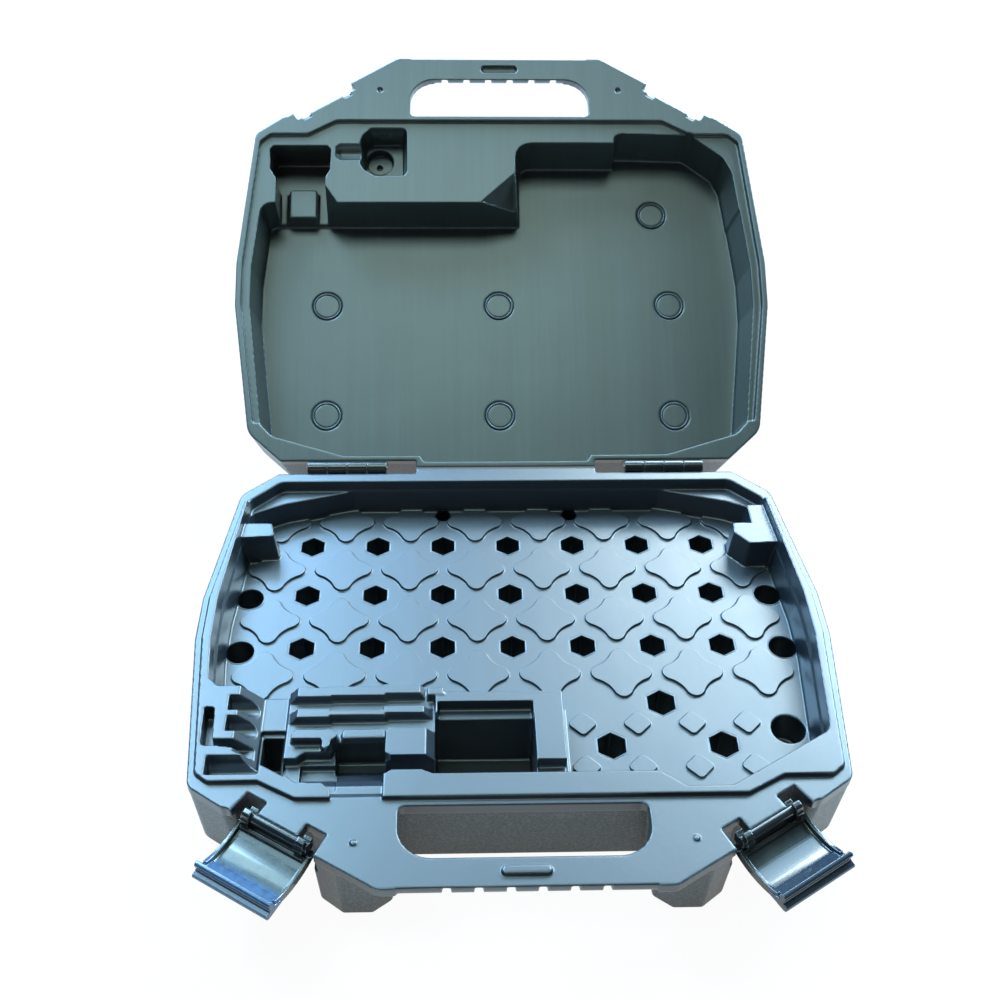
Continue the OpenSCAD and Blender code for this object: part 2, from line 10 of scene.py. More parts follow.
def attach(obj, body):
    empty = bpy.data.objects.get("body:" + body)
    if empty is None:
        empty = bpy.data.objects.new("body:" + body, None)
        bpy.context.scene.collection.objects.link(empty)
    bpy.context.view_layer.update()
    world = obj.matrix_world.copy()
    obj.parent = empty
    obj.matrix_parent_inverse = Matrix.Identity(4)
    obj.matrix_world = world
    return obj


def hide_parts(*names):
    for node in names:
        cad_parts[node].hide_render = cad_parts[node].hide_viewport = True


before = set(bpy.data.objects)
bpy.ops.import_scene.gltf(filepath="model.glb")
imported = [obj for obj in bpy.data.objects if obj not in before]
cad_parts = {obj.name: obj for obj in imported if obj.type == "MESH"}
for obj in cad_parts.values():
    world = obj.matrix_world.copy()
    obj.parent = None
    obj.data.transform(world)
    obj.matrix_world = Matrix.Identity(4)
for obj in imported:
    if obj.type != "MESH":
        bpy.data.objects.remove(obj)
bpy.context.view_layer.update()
scene = bpy.context.scene
mm = 0.001

# both halves are described in plan: x across, d forward from the hinge, h away from the rim
plan = {
    "hingeY": 0.150,
    "rimZ": 0.052,
    "lidAngle": math.radians(147),
    "rimGap": 0.0004,
}
latchTurn = math.radians(31.2)
latchMid = (-0.1311, 0.2849)


def planOf(co, half):
    y = co[:, 1] - plan["hingeY"]
    z = co[:, 2] - plan["rimZ"]
    if half == "base":
        return np.stack([co[:, 0], -y, -z], axis=1)
    c, s = -math.cos(plan["lidAngle"]), math.sin(plan["lidAngle"])
    return np.stack([co[:, 0], c * y + s * z, s * y - c * z - plan["rimGap"]], axis=1)


def fromPlan(half):
    place = Matrix.Translation((0, plan["hingeY"], plan["rimZ"]))
    if half == "base":
        return place @ Matrix.Rotation(math.pi, 4, "X")
    lift = Matrix.Diagonal((1, -1, 1, 1)) @ Matrix.Translation((0, 0, plan["rimGap"]))
    return place @ Matrix.Rotation(-plan["lidAngle"], 4, "X") @ lift


# node helpers
def addNode(tree, kind, values=None, **settings):
    node = tree.nodes.new(kind)
    for key, value in settings.items():
        setattr(node, key, value)
    for key, value in (values or {}).items():
        node.inputs[key].default_value = value
    return node


def join(tree, source, target):
    tree.links.new(source, target)


def mathNode(tree, operation, a, b=None, clamp=False):
    node = addNode(tree, "ShaderNodeMath", operation=operation, use_clamp=clamp)
    for socket, value in zip(node.inputs, (a, b)):
        if value is None:
            continue
        if isinstance(value, (int, float)):
            socket.default_value = value
        else:
            join(tree, value, socket)
    return node.outputs[0]


def times(tree, a, b):
    return mathNode(tree, "MULTIPLY", a, b)


def plus(tree, a, b, clamp=False):
    return mathNode(tree, "ADD", a, b, clamp)


def minus(tree, a, b, clamp=False):
    return mathNode(tree, "SUBTRACT", a, b, clamp)


# a number stored on the piece's own mesh
def meshValue(tree, name):
    node = addNode(tree, "ShaderNodeAttribute", attribute_name=name, attribute_type="GEOMETRY")
    return node.outputs["Fac"]


def ramp(tree, value, low, high, start=0.0, end=1.0):
    node = addNode(tree, "ShaderNodeMapRange", interpolation_type="SMOOTHSTEP")
    join(tree, value, node.inputs[0])
    for index, number in enumerate((low, high, start, end), 1):
        node.inputs[index].default_value = number
    return node.outputs[0]


def mixColor(tree, factor, a, b):
    node = addNode(tree, "ShaderNodeMix", data_type="RGBA", blend_type="MIX")
    for socket, value in ((node.inputs[0], factor), (node.inputs[6], a), (node.inputs[7], b)):
        if isinstance(value, bpy.types.NodeSocket):
            join(tree, value, socket)
        elif isinstance(value, (int, float)):
            socket.default_value = value
        else:
            socket.default_value = (*value, 1) if len(value) == 3 else value
    return node.outputs[2]


def noise(tree, vector, scale, detail=2.0, roughness=0.5):
    node = addNode(tree, "ShaderNodeTexNoise", {"Scale": scale, "Detail": detail, "Roughness": roughness})
    join(tree, vector, node.inputs["Vector"])
    return node.outputs["Fac"]


def stretch(tree, vector, scale, turn=(0, 0, 0)):
    node = addNode(tree, "ShaderNodeMapping", {"Scale": scale, "Rotation": turn})
    join(tree, vector, node.inputs["Vector"])
    return node.outputs["Vector"]


def newGroup(name, inputs, outputs):
    group = bpy.data.node_groups.new(name, "ShaderNodeTree")
    for label, kind, value in inputs:
        socket = group.interface.new_socket(label, in_out="INPUT", socket_type=kind)
        if value is not None:
            socket.default_value = value
    for label, kind in outputs:
        group.interface.new_socket(label, in_out="OUTPUT", socket_type=kind)
    return group, group.nodes.new("NodeGroupInput"), group.nodes.new("NodeGroupOutput")


number, colour, vector = "NodeSocketFloat", "NodeSocketColor", "NodeSocketVector"


# scales are cells per metre, heights are in metres
skinLook = {
    "flow": (95, 2.2, 9), "fine": (420, 9, 60), "fineTurn": (0, 0, 0.05), "fineShare": 0.35,
    "blotch": 38.0, "streakToRough": 0.06,
    "peel": 260.0, "peelHeight": 0.00006, "wave": 22.0, "waveHeight": 0.0004,
}


# slow drift of tone, flow streaks and orange peel of moulded plastic
def buildMouldedSkin():
    group, given, made = newGroup(
        "mouldedSkin",
        [("Vector", vector, None), ("Plastic", colour, (0.2, 0.2, 0.2, 1)),
         ("Drift", colour, (0.25, 0.25, 0.25, 1)), ("Drift Scale", number, 9.0), ("Streak", number, 0.1),
         ("Gloss", number, 0.35), ("Gloss Spread", number, 0.08), ("Peel", number, 1.0)],
        [("Color", colour), ("Roughness", number), ("Height", number)])
    place = given.outputs["Vector"]
    drift = addNode(group, "ShaderNodeTexNoise", {"Detail": 3.0, "Roughness": 0.55})
    join(group, place, drift.inputs["Vector"])
    join(group, given.outputs["Drift Scale"], drift.inputs["Scale"])
    drifted = ramp(group, drift.outputs["Fac"], 0.32, 0.68)
    tone = mixColor(group, drifted, given.outputs["Plastic"], given.outputs["Drift"])
    flow = noise(group, stretch(group, place, skinLook["flow"]), 1.0, 4.0, 0.62)
    fine = noise(group, stretch(group, place, skinLook["fine"], skinLook["fineTurn"]), 1.0, 2.0)
    thin = times(group, minus(group, fine, 0.5), skinLook["fineShare"])
    streak = plus(group, minus(group, flow, 0.5), thin)
    shade = plus(group, 1.0, times(group, streak, given.outputs["Streak"]))
    lit = addNode(group, "ShaderNodeVectorMath", operation="SCALE")
    join(group, tone, lit.inputs[0])
    join(group, shade, lit.inputs["Scale"])
    join(group, lit.outputs[0], made.inputs["Color"])
    blotch = noise(group, place, skinLook["blotch"], 3.0, 0.6)
    rough = times(group, minus(group, blotch, 0.5), given.outputs["Gloss Spread"])
    rough = plus(group, rough, times(group, streak, skinLook["streakToRough"]))
    join(group, plus(group, given.outputs["Gloss"], rough, clamp=True), made.inputs["Roughness"])
    peel = times(group, noise(group, place, skinLook["peel"], 2.0), skinLook["peelHeight"])
    wave = times(group, noise(group, place, skinLook["wave"], 1.0), skinLook["waveHeight"])
    join(group, times(group, plus(group, peel, wave), given.outputs["Peel"]), made.inputs["Height"])
    return group


pebbleLook = {"cellShare": 0.9, "speck": (0.62, 1.18), "height": 0.00028}


# pebbled grain of the outer walls
def buildPebble():
    group, given, made = newGroup(
        "pebbleGrain",
        [("Vector", vector, None), ("Mask", number, 1.0), ("Grain", number, 820.0)],
        [("Speck", number), ("Height", number)])
    cells = addNode(group, "ShaderNodeTexVoronoi", {"Randomness": 1.0}, feature="SMOOTH_F1")
    join(group, given.outputs["Vector"], cells.inputs["Vector"])
    join(group, given.outputs["Grain"], cells.inputs["Scale"])
    worm = addNode(group, "ShaderNodeTexNoise", {"Detail": 3.0, "Roughness": 0.6, "Distortion": 0.6})
    join(group, given.outputs["Vector"], worm.inputs["Vector"])
    join(group, given.outputs["Grain"], worm.inputs["Scale"])
    cellShade = times(group, cells.outputs["Distance"], pebbleLook["cellShare"])
    raw = plus(group, cellShade, worm.outputs["Fac"])
    speck = ramp(group, raw, *pebbleLook["speck"])
    join(group, times(group, speck, given.outputs["Mask"]), made.inputs["Speck"])
    low = times(group, speck, pebbleLook["height"])
    join(group, times(group, low, given.outputs["Mask"]), made.inputs["Height"])
    return group


edgeLightLook = {"edge": (0.06, 0.32), "highlightColour": (0.42, 0.55, 0.66), "corner": (-0.05, -0.3)}
# colour of the painted shade in corners, wells and pockets
shadeBlack = (0.004, 0.006, 0.008)


# painted highlight on outer edges and painted shade in inner corners, from the piece's own curvature
def buildRub():
    group, given, made = newGroup(
        "edgeLightAndShade",
        [("Color", colour, (0.5, 0.5, 0.5, 1)), ("Highlight", number, 0.5), ("CornerShade", number, 0.4)],
        [("Color", colour)])
    bend = meshValue(group, "bend")
    coords = addNode(group, "ShaderNodeTexCoord")
    broken = ramp(group, noise(group, coords.outputs["Object"], 120.0, 3.0), 0.25, 0.7, 0.45, 1.0)
    # painted highlight on outer edges, broken up by noise
    highlightMask = times(group, ramp(group, bend, *edgeLightLook["edge"]), broken)
    highlightMask = times(group, highlightMask, given.outputs["Highlight"])
    # painted shade in inner corners
    cornerShadeMask = times(group, ramp(group, bend, *edgeLightLook["corner"]), given.outputs["CornerShade"])
    light = mixColor(group, highlightMask, given.outputs["Color"], edgeLightLook["highlightColour"])
    dark = mixColor(group, cornerShadeMask, light, shadeBlack)
    join(group, dark, made.inputs["Color"])
    return group


mouldedSkin, pebbleGrain, edgeLightAndShade = buildMouldedSkin(), buildPebble(), buildRub()
print("finish groups ready")


def placeGroup(tree, group, values=None):
    node = addNode(tree, "ShaderNodeGroup", node_tree=group)
    for key, value in (values or {}).items():
        node.inputs[key].default_value = value
    return node


def startMaterial(name):
    material = bpy.data.materials.new(name)
    material.use_nodes = True
    tree = material.node_tree
    return material, tree, tree.nodes["Principled BSDF"]


def bumpTo(tree, height, shader):
    bump = addNode(tree, "ShaderNodeBump", {"Strength": 1.0, "Distance": 1.0})
    join(tree, height, bump.inputs["Height"])
    join(tree, bump.outputs["Normal"], shader.inputs["Normal"])


# "dark" gives the depths in metres between which painted shade turns the wells near black; the last two set
# the painted edge highlight and the painted corner shade
baseFinish = {
    "plastic": (0.012, 0.020, 0.030, 1), "drift": (0.016, 0.026, 0.038, 1), "driftScale": 7.0, "streak": 0.25,
    "gloss": 0.42, "glossSpread": 0.08, "wall": (0.020, 0.024, 0.024), "speck": (0.12, 0.14, 0.13),
    "dark": (0.0250, 0.0275), "edgeLight": 0.55, "corner": 0.55,
}
lidFinish = {
    "plastic": (0.026, 0.040, 0.036, 1), "drift": (0.034, 0.050, 0.047, 1), "driftScale": 5.0, "streak": 1.1,
    "gloss": 0.42, "glossSpread": 0.10, "wall": (0.020, 0.024, 0.024), "speck": (0.11, 0.13, 0.12),
    "dark": (0.060, 0.065), "edgeLight": 0.40, "corner": 0.55,
}


shellLook = {"pebble": (0.0078, 0.0086), "pebbleRough": 0.30, "shadeShare": 0.93, "coatRough": 0.32}


# one half's plastic: smooth inside, pebbled outside, with painted shade turning it near black down in the
# wells and pockets
def shellMaterial(name, finish, sheen):
    material, tree, shader = startMaterial(name)
    own = addNode(tree, "ShaderNodeAttribute", attribute_name="planCo", attribute_type="GEOMETRY")
    outside = meshValue(tree, "outside")
    pocket = meshValue(tree, "pocket")
    split = addNode(tree, "ShaderNodeSeparateXYZ")
    join(tree, own.outputs["Vector"], split.inputs[0])
    depth = split.outputs["Z"]
    skin = placeGroup(tree, mouldedSkin, {"Plastic": finish["plastic"], "Drift": finish["drift"],
                                          "Drift Scale": finish["driftScale"], "Streak": finish["streak"],
                                          "Gloss": finish["gloss"], "Gloss Spread": finish["glossSpread"]})
    join(tree, own.outputs["Vector"], skin.inputs["Vector"])
    inside = minus(tree, 1.0, outside, clamp=True)
    # painted shade: wells past a depth and the listed pockets turn near black
    wellShade = times(tree, ramp(tree, depth, *finish["dark"]), inside)
    dark = mathNode(tree, "MAXIMUM", wellShade, pocket)
    pebble = placeGroup(tree, pebbleGrain)
    join(tree, own.outputs["Vector"], pebble.inputs["Vector"])
    mask = times(tree, ramp(tree, depth, *shellLook["pebble"]), outside)
    join(tree, mask, pebble.inputs["Mask"])
    wall = mixColor(tree, pebble.outputs["Speck"], finish["wall"], finish["speck"])
    body = mixColor(tree, mask, skin.outputs["Color"], wall)
    body = mixColor(tree, times(tree, dark, shellLook["shadeShare"]), body, shadeBlack)
    # painted highlight on outer edges and painted shade in inner corners
    edgeLight = placeGroup(tree, edgeLightAndShade, {"Highlight": finish["edgeLight"], "CornerShade": finish["corner"]})
    join(tree, body, edgeLight.inputs["Color"])
    join(tree, edgeLight.outputs["Color"], shader.inputs["Base Color"])
    rough = plus(tree, skin.outputs["Roughness"], times(tree, mask, shellLook["pebbleRough"]), clamp=True)
    join(tree, rough, shader.inputs["Roughness"])
    bumpTo(tree, plus(tree, skin.outputs["Height"], pebble.outputs["Height"]), shader)
    shader.inputs["Specular IOR Level"].default_value = sheen["specular"]
    shader.inputs["Coat Weight"].default_value = sheen["coat"]
    shader.inputs["Coat Roughness"].default_value = shellLook["coatRough"]
    return material


# the fittings' edges get a painted highlight and their corners painted shade, set in these tables
fittingFinish = {
    "plastic": (0.016, 0.019, 0.021, 1), "drift": (0.026, 0.030, 0.029, 1), "driftScale": 40.0, "streak": 0.4,
    "gloss": 0.20, "glossSpread": 0.12, "peel": 0.12, "edgeLight": 0.35, "corner": 0.3,
    "specular": 1.0, "coat": 0.8, "coatRough": 0.10,
}
hingeFinish = {**fittingFinish, "driftScale": 70.0, "gloss": 0.24, "edgeLight": 0.5}
# painted reflection on a latch plate, in metres down the plate: grey green by the bar, then blue
latchReflection = {
    "grey": (0.075, 0.10, 0.09), "blue": (0.075, 0.15, 0.28),
    "start": (0.006, 0.008), "change": (0.021, 0.026),
    "ragged": 110.0, "raggedBy": 0.012, "patch": 260.0, "reflectionShare": {"left": 1.0, "right": 0.2},
}


# painted reflection of the lamps on a latch plate, ragged and patchy
def addHaze(tree, color):
    along, reflectionShare = meshValue(tree, "along"), meshValue(tree, "reflectionShare")
    coords = addNode(tree, "ShaderNodeTexCoord")
    ragged = noise(tree, coords.outputs["Object"], latchReflection["ragged"], 5.0, 0.65)
    place = plus(tree, along, times(tree, minus(tree, ragged, 0.5), latchReflection["raggedBy"]))
    reflection = mixColor(tree, ramp(tree, place, *latchReflection["change"]), latchReflection["grey"], latchReflection["blue"])
    start = ramp(tree, place, *latchReflection["start"])
    patchy = ramp(tree, noise(tree, coords.outputs["Object"], latchReflection["patch"], 3.0), 0.25, 0.6, 0.55, 1.0)
    return mixColor(tree, times(tree, times(tree, start, reflectionShare), patchy), color, reflection)


def glossMaterial(name, finish, withReflection=False):
    material, tree, shader = startMaterial(name)
    coords = addNode(tree, "ShaderNodeTexCoord")
    skin = placeGroup(tree, mouldedSkin, {
        "Plastic": finish["plastic"], "Drift": finish["drift"], "Drift Scale": finish["driftScale"],
        "Streak": finish["streak"], "Gloss": finish["gloss"], "Gloss Spread": finish["glossSpread"],
        "Peel": finish["peel"]})
    join(tree, coords.outputs["Object"], skin.inputs["Vector"])
    # painted highlight on outer edges and painted shade in inner corners
    edgeLight = placeGroup(tree, edgeLightAndShade, {"Highlight": finish["edgeLight"], "CornerShade": finish["corner"]})
    color = skin.outputs["Color"]
    join(tree, addHaze(tree, color) if withReflection else color, edgeLight.inputs["Color"])
    join(tree, edgeLight.outputs["Color"], shader.inputs["Base Color"])
    join(tree, skin.outputs["Roughness"], shader.inputs["Roughness"])
    bumpTo(tree, skin.outputs["Height"], shader)
    shader.inputs["Specular IOR Level"].default_value = finish["specular"]
    shader.inputs["Coat Weight"].default_value = finish["coat"]
    shader.inputs["Coat Roughness"].default_value = finish["coatRough"]
    return material


steelLook = {
    "dark": (0.42, 0.43, 0.44), "light": (0.66, 0.67, 0.68), "stain": (0.20, 0.17, 0.14),
    "drawn": (14, 900, 900), "drawnHeight": 0.00002, "stainScale": 160.0, "gloss": (0.24, 0.5),
}


def steelMaterial():
    material, tree, shader = startMaterial("pinSteel")
    coords = addNode(tree, "ShaderNodeTexCoord")
    drawn = noise(tree, stretch(tree, coords.outputs["Object"], steelLook["drawn"]), 1.0, 3.0)
    stain = noise(tree, coords.outputs["Object"], steelLook["stainScale"], 3.0)
    tone = mixColor(tree, drawn, steelLook["dark"], steelLook["light"])
    stained = mixColor(tree, ramp(tree, stain, 0.5, 0.75, 0.0, 0.5), tone, steelLook["stain"])
    join(tree, stained, shader.inputs["Base Color"])
    join(tree, ramp(tree, stain, 0.3, 0.8, *steelLook["gloss"]), shader.inputs["Roughness"])
    shader.inputs["Metallic"].default_value = 1.0
    bumpTo(tree, times(tree, drawn, steelLook["drawnHeight"]), shader)
    return material


# lit and shaded copies of one plastic: the matt, shaded copy gives painted shade on steep inner walls and in
# pockets
litSheen, shadedSheen = {"specular": 1.0, "coat": 1.0}, {"specular": 0.22, "coat": 0.05}
baseSkins = [shellMaterial("basePlastic", baseFinish, litSheen),
             shellMaterial("baseShadedWallPlastic", baseFinish, shadedSheen)]
lidSkins = [shellMaterial("lidPlastic", lidFinish, litSheen),
            shellMaterial("lidShadedWallPlastic", lidFinish, shadedSheen)]
latchMaterial = glossMaterial("latchPlastic", fittingFinish, withReflection=True)
hingeMaterial = glossMaterial("hingePlastic", hingeFinish)
pinMaterial = steelMaterial()
print("materials ready")


# mesh helpers
def newObject(name, mesh):
    made = bpy.data.objects.new(name, mesh)
    scene.collection.objects.link(made)
    return made


def evaluated(source, name):
    mesh = bpy.data.meshes.new_from_object(source.evaluated_get(bpy.context.evaluated_depsgraph_get()))
    mesh.name = name
    return mesh


def weldedCopy(nodeName):
    shell = bmesh.new()
    shell.from_mesh(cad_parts[nodeName].data)
    bmesh.ops.remove_doubles(shell, verts=shell.verts, dist=1e-6)
    mesh = bpy.data.meshes.new(nodeName + "Copy")
    shell.to_mesh(mesh)
    shell.free()
    return newObject(nodeName + "Copy", mesh)


def readCo(mesh):
    co = np.empty(len(mesh.vertices) * 3)
    mesh.vertices.foreach_get("co", co)
    return co.reshape(-1, 3)


def writeFloat(mesh, name, values):
    layer = mesh.attributes.new(name, "FLOAT", "POINT")
    layer.data.foreach_set("value", np.asarray(values, np.float32))


# how far each point stands out from its neighbours: above 0 on outer edges, below 0 in corners
def writeBend(mesh):
    co = readCo(mesh)
    normals = np.empty(len(mesh.vertices) * 3)
    mesh.vertices.foreach_get("normal", normals)
    normals = normals.reshape(-1, 3)
    ends = np.empty(len(mesh.edges) * 2, int)
    mesh.edges.foreach_get("vertices", ends)
    a, b = ends.reshape(-1, 2).T
    span = co[b] - co[a]
    reach = np.linalg.norm(span, axis=1) + 1e-9
    total, count = np.zeros(len(co)), np.zeros(len(co))
    np.add.at(total, a, -(span * normals[a]).sum(1) / reach)
    np.add.at(total, b, (span * normals[b]).sum(1) / reach)
    np.add.at(count, a, 1)
    np.add.at(count, b, 1)
    writeFloat(mesh, "bend", total / np.maximum(count, 1))


# frames in which a piece's flat faces lie square, so that resampling keeps its edges straight
frames = {
    "base": Matrix.Identity(4),
    "lid": (Matrix.Translation((0, plan["hingeY"], plan["rimZ"]))
            @ Matrix.Rotation(math.pi - plan["lidAngle"], 4, "X")),
    "left": Matrix.Rotation(-latchTurn, 4, "Z"),
    "right": Matrix.Rotation(latchTurn, 4, "Z"),
}


# soft moulded edges: the CAD form is resampled, eased a little and thinned again
def easeNode(nodeName, pieceName, square, voxel, passes, budget):
    source = weldedCopy(nodeName)
    source.data.transform(frames[square].inverted())
    skin = source.modifiers.new("resample", "REMESH")
    skin.mode, skin.voxel_size, skin.adaptivity = "VOXEL", voxel, 0.0
    ease = source.modifiers.new("ease", "SMOOTH")
    ease.factor, ease.iterations = 0.5, passes
    dense = newObject(pieceName + "Dense", evaluated(source, pieceName + "Dense"))
    triangles = 2 * len(dense.data.polygons)
    if triangles > budget:
        thin = dense.modifiers.new("thin", "DECIMATE")
        thin.ratio = budget / triangles
    mesh = evaluated(dense, pieceName)
    for spare in (source, dense):
        bpy.data.objects.remove(spare)
    mesh.transform(frames[square])
    mesh.materials.clear()
    return finishPiece(mesh, pieceName)


def finishPiece(mesh, pieceName):
    mesh.polygons.foreach_set("use_smooth", [True] * len(mesh.polygons))
    writeBend(mesh)
    piece = newObject(pieceName, mesh)
    even = piece.modifiers.new("even", "WEIGHTED_NORMAL")
    even.weight, even.keep_sharp = 60, False
    print(pieceName, "has", len(mesh.polygons), "faces")
    return piece


def insidePolygon(x, y, corners):
    found = np.zeros(len(x), bool)
    for (x1, y1), (x2, y2) in zip(corners, corners[1:] + corners[:1]):
        crosses = (y1 > y) != (y2 > y)
        at = (x2 - x1) * (y - y1) / np.where(y2 == y1, 1e-12, y2 - y1) + x1
        found ^= crosses & (x < at)
    return found


slotEnds = (-12.5, 9)  # millimetres along the latch


# plan corners of a latch slot, given its two edges across the latch
def slotCorners(side, across):
    c, s = math.cos(latchTurn), math.sin(latchTurn)
    found = []
    back, front = slotEnds
    for u, v in ((across[0], back), (across[1], back), (across[1], front), (across[0], front)):
        found.append((side * -(latchMid[0] / mm + u * c - v * s), latchMid[1] / mm + u * s + v * c))
    return found


def scaled(points):
    return [(x * mm, y * mm) for x, y in points]


innerDepth = 0.0485  # metres from the rim, past which a face belongs to the outside
# plan of what counts as inside, in millimetres, and the pockets that get painted shade between two depths
baseRegions = {
    "inside": [(-155, 11), (155, 11), (175, 31), (183, 120), (183, 154), (176, 229), (113, 266), (-125, 266),
               (-177, 256), (-178, 229), (-183, 154), (-183, 120), (-175, 31)],
    "pockets": [
        (5, 16, [(-48.6, 208.5), (9.4, 208.5), (9.4, 253), (-48.6, 253)]),
        (5, 16, [(-145, 217), (-131.8, 217), (-131.8, 246), (-145, 246)]),
        (5, 16, [(-178, 204), (-171, 204), (-170, 227), (-151, 229), (-151, 238), (-178, 236)]),
        *[(0.6, 2.6, slotCorners(side, across)) for side in (-1, 1) for across in ((-28, -12.4), (12.4, 28))],
    ],
}
lidRegions = {
    "inside": [(-113, 6), (113, 6), (164, 21), (173, 31), (183, 121), (183, 154), (176, 229), (167, 242),
               (143, 262), (-170, 262), (-176, 229), (-183, 154), (-183, 121), (-173, 31), (-164, 21)],
    "pockets": [
        (5, 20, [(-169, 222), (-124, 222), (-124, 251), (-169, 251)]),
        (28, 33, [(-169, 204), (-124, 204), (-124, 223), (-169, 223)]),
    ],
}


def markRegions(mesh, half, regions):
    co = planOf(readCo(mesh), half)
    layer = mesh.attributes.new("planCo", "FLOAT_VECTOR", "POINT")
    layer.data.foreach_set("vector", co.astype(np.float32).ravel())
    inside = insidePolygon(co[:, 0], co[:, 1], scaled(regions["inside"]))
    inside &= co[:, 2] < innerDepth
    writeFloat(mesh, "outside", ~inside)
    # painted shade: how far down each point lies in a pocket that is shaded near black
    pocket = np.zeros(len(co))
    for low, high, corners in regions["pockets"]:
        depth = np.clip((co[:, 2] - low * mm) / ((high - low) * mm), 0, 1)
        pocket = np.maximum(pocket, depth * insidePolygon(co[:, 0], co[:, 1], scaled(corners)))
    writeFloat(mesh, "pocket", pocket)


# how far down its plate each point of a latch lies, and how much painted reflection that side has
def markLatch(mesh, side):
    co = planOf(readCo(mesh), "base")
    x = np.abs(co[:, 0]) + latchMid[0]
    d = co[:, 1] - latchMid[1]
    writeFloat(mesh, "along", x * math.sin(latchTurn) + d * math.cos(latchTurn))
    writeFloat(mesh, "reflectionShare", np.full(len(co), latchReflection["reflectionShare"][side]))


def dress(piece, materials, body):
    piece.data.materials.clear()
    for material in materials:
        piece.data.materials.append(material)
    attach(piece, body)
    return piece


# how far a wall's normal may point along h, and how far back towards the hinge
steepWall = {"slope": 0.62, "back": -0.5}


# the second skin, a matt shaded copy that gives painted shade, goes on steep walls inside the shell not
# turned back towards the hinge, and down in its pockets
def matWalls(mesh, half, regions):
    count = len(mesh.polygons)
    centre, normal = np.empty(count * 3), np.empty(count * 3)
    mesh.polygons.foreach_get("center", centre)
    mesh.polygons.foreach_get("normal", normal)
    centre, normal = centre.reshape(-1, 3), normal.reshape(-1, 3)
    tip = planOf(centre + normal * mm, half) - planOf(centre, half)
    co = planOf(centre, half)
    inside = insidePolygon(co[:, 0], co[:, 1], scaled(regions["inside"])) & (co[:, 2] < innerDepth)
    steep = inside & (np.abs(tip[:, 2]) < steepWall["slope"] * mm) & (tip[:, 1] > steepWall["back"] * mm)
    for low, high, corners in regions["pockets"]:
        steep |= (co[:, 2] > (low + high) / 2 * mm) & insidePolygon(co[:, 0], co[:, 1], scaled(corners))
    mesh.polygons.foreach_set("material_index", steep.astype(np.int32))


shellEase = {"voxel": 0.00066, "passes": 1, "budget": 190000}
smallEase = {"voxel": 0.00028, "passes": 3, "budget": 60000}

baseShell = easeNode("base_half", "baseShell", "base", **shellEase)
markRegions(baseShell.data, "base", baseRegions)
matWalls(baseShell.data, "base", baseRegions)
dress(baseShell, baseSkins, "base")
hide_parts("base_half")

lidShell = easeNode("lid_half", "lidShell", "lid", **shellEase)
markRegions(lidShell.data, "lid", lidRegions)
matWalls(lidShell.data, "lid", lidRegions)
dress(lidShell, lidSkins, "lid")
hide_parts("lid_half")
print("shells ready")


# one closed skin over a stack of rings, each a list of (x, y, z)
def skinRings(name, rings, closed):
    form = bmesh.new()
    loops = [[form.verts.new(point) for point in ring] for ring in rings]
    for low, high in zip(loops, loops[1:] + ([loops[0]] if closed else [])):
        for i in range(len(low)):
            j = (i + 1) % len(low)
            form.faces.new((low[i], low[j], high[j], high[i]))
    if not closed:
        form.faces.new(list(reversed(loops[0])))
        form.faces.new(loops[-1])
    bmesh.ops.recalc_face_normals(form, faces=form.faces)
    mesh = bpy.data.meshes.new(name)
    form.to_mesh(mesh)
    form.free()
    return mesh


# distance from a tile's middle to its edge: a rounded diamond with hollowed sides
def tileReach(angle, size, corner, bite):
    along = abs(math.cos(angle)), abs(math.sin(angle))
    reach = size / (along[0] + along[1])
    middle = size - corner * math.sqrt(2)
    long, short = max(along), min(along)
    under = corner ** 2 - (middle * short) ** 2
    if short < long * corner / (math.sqrt(2) * middle + corner) and under > 0:
        reach = middle * long + math.sqrt(under)
    across = bite * (along[0] + along[1])
    inside = across ** 2 - 2 * bite ** 2 + (0.83 * bite) ** 2
    return min(reach, across - math.sqrt(inside)) if inside > 0 else reach


def tileForm(name, size, corner, bite, rise, soft, steps=96):
    angles = [2 * math.pi * i / steps for i in range(steps)]
    reach = [tileReach(a, size, corner, bite) for a in angles]
    rings = []
    sunk = -0.3
    for shrink, height in ((0, sunk), (0, rise - soft), (0.3 * soft, rise - 0.3 * soft), (soft, rise)):
        rings.append([((r - shrink) * math.cos(a) * mm, (r - shrink) * math.sin(a) * mm, height * mm)
                      for a, r in zip(angles, reach)])
    return skinRings(name, rings, False)


def ringForm(name, profile, sides, turn=0.0):
    rings = []
    for i in range(sides):
        a = 2 * math.pi * i / sides + turn
        rings.append([(r * math.cos(a) * mm, r * math.sin(a) * mm, h * mm) for r, h in profile])
    return skinRings(name, rings, True)


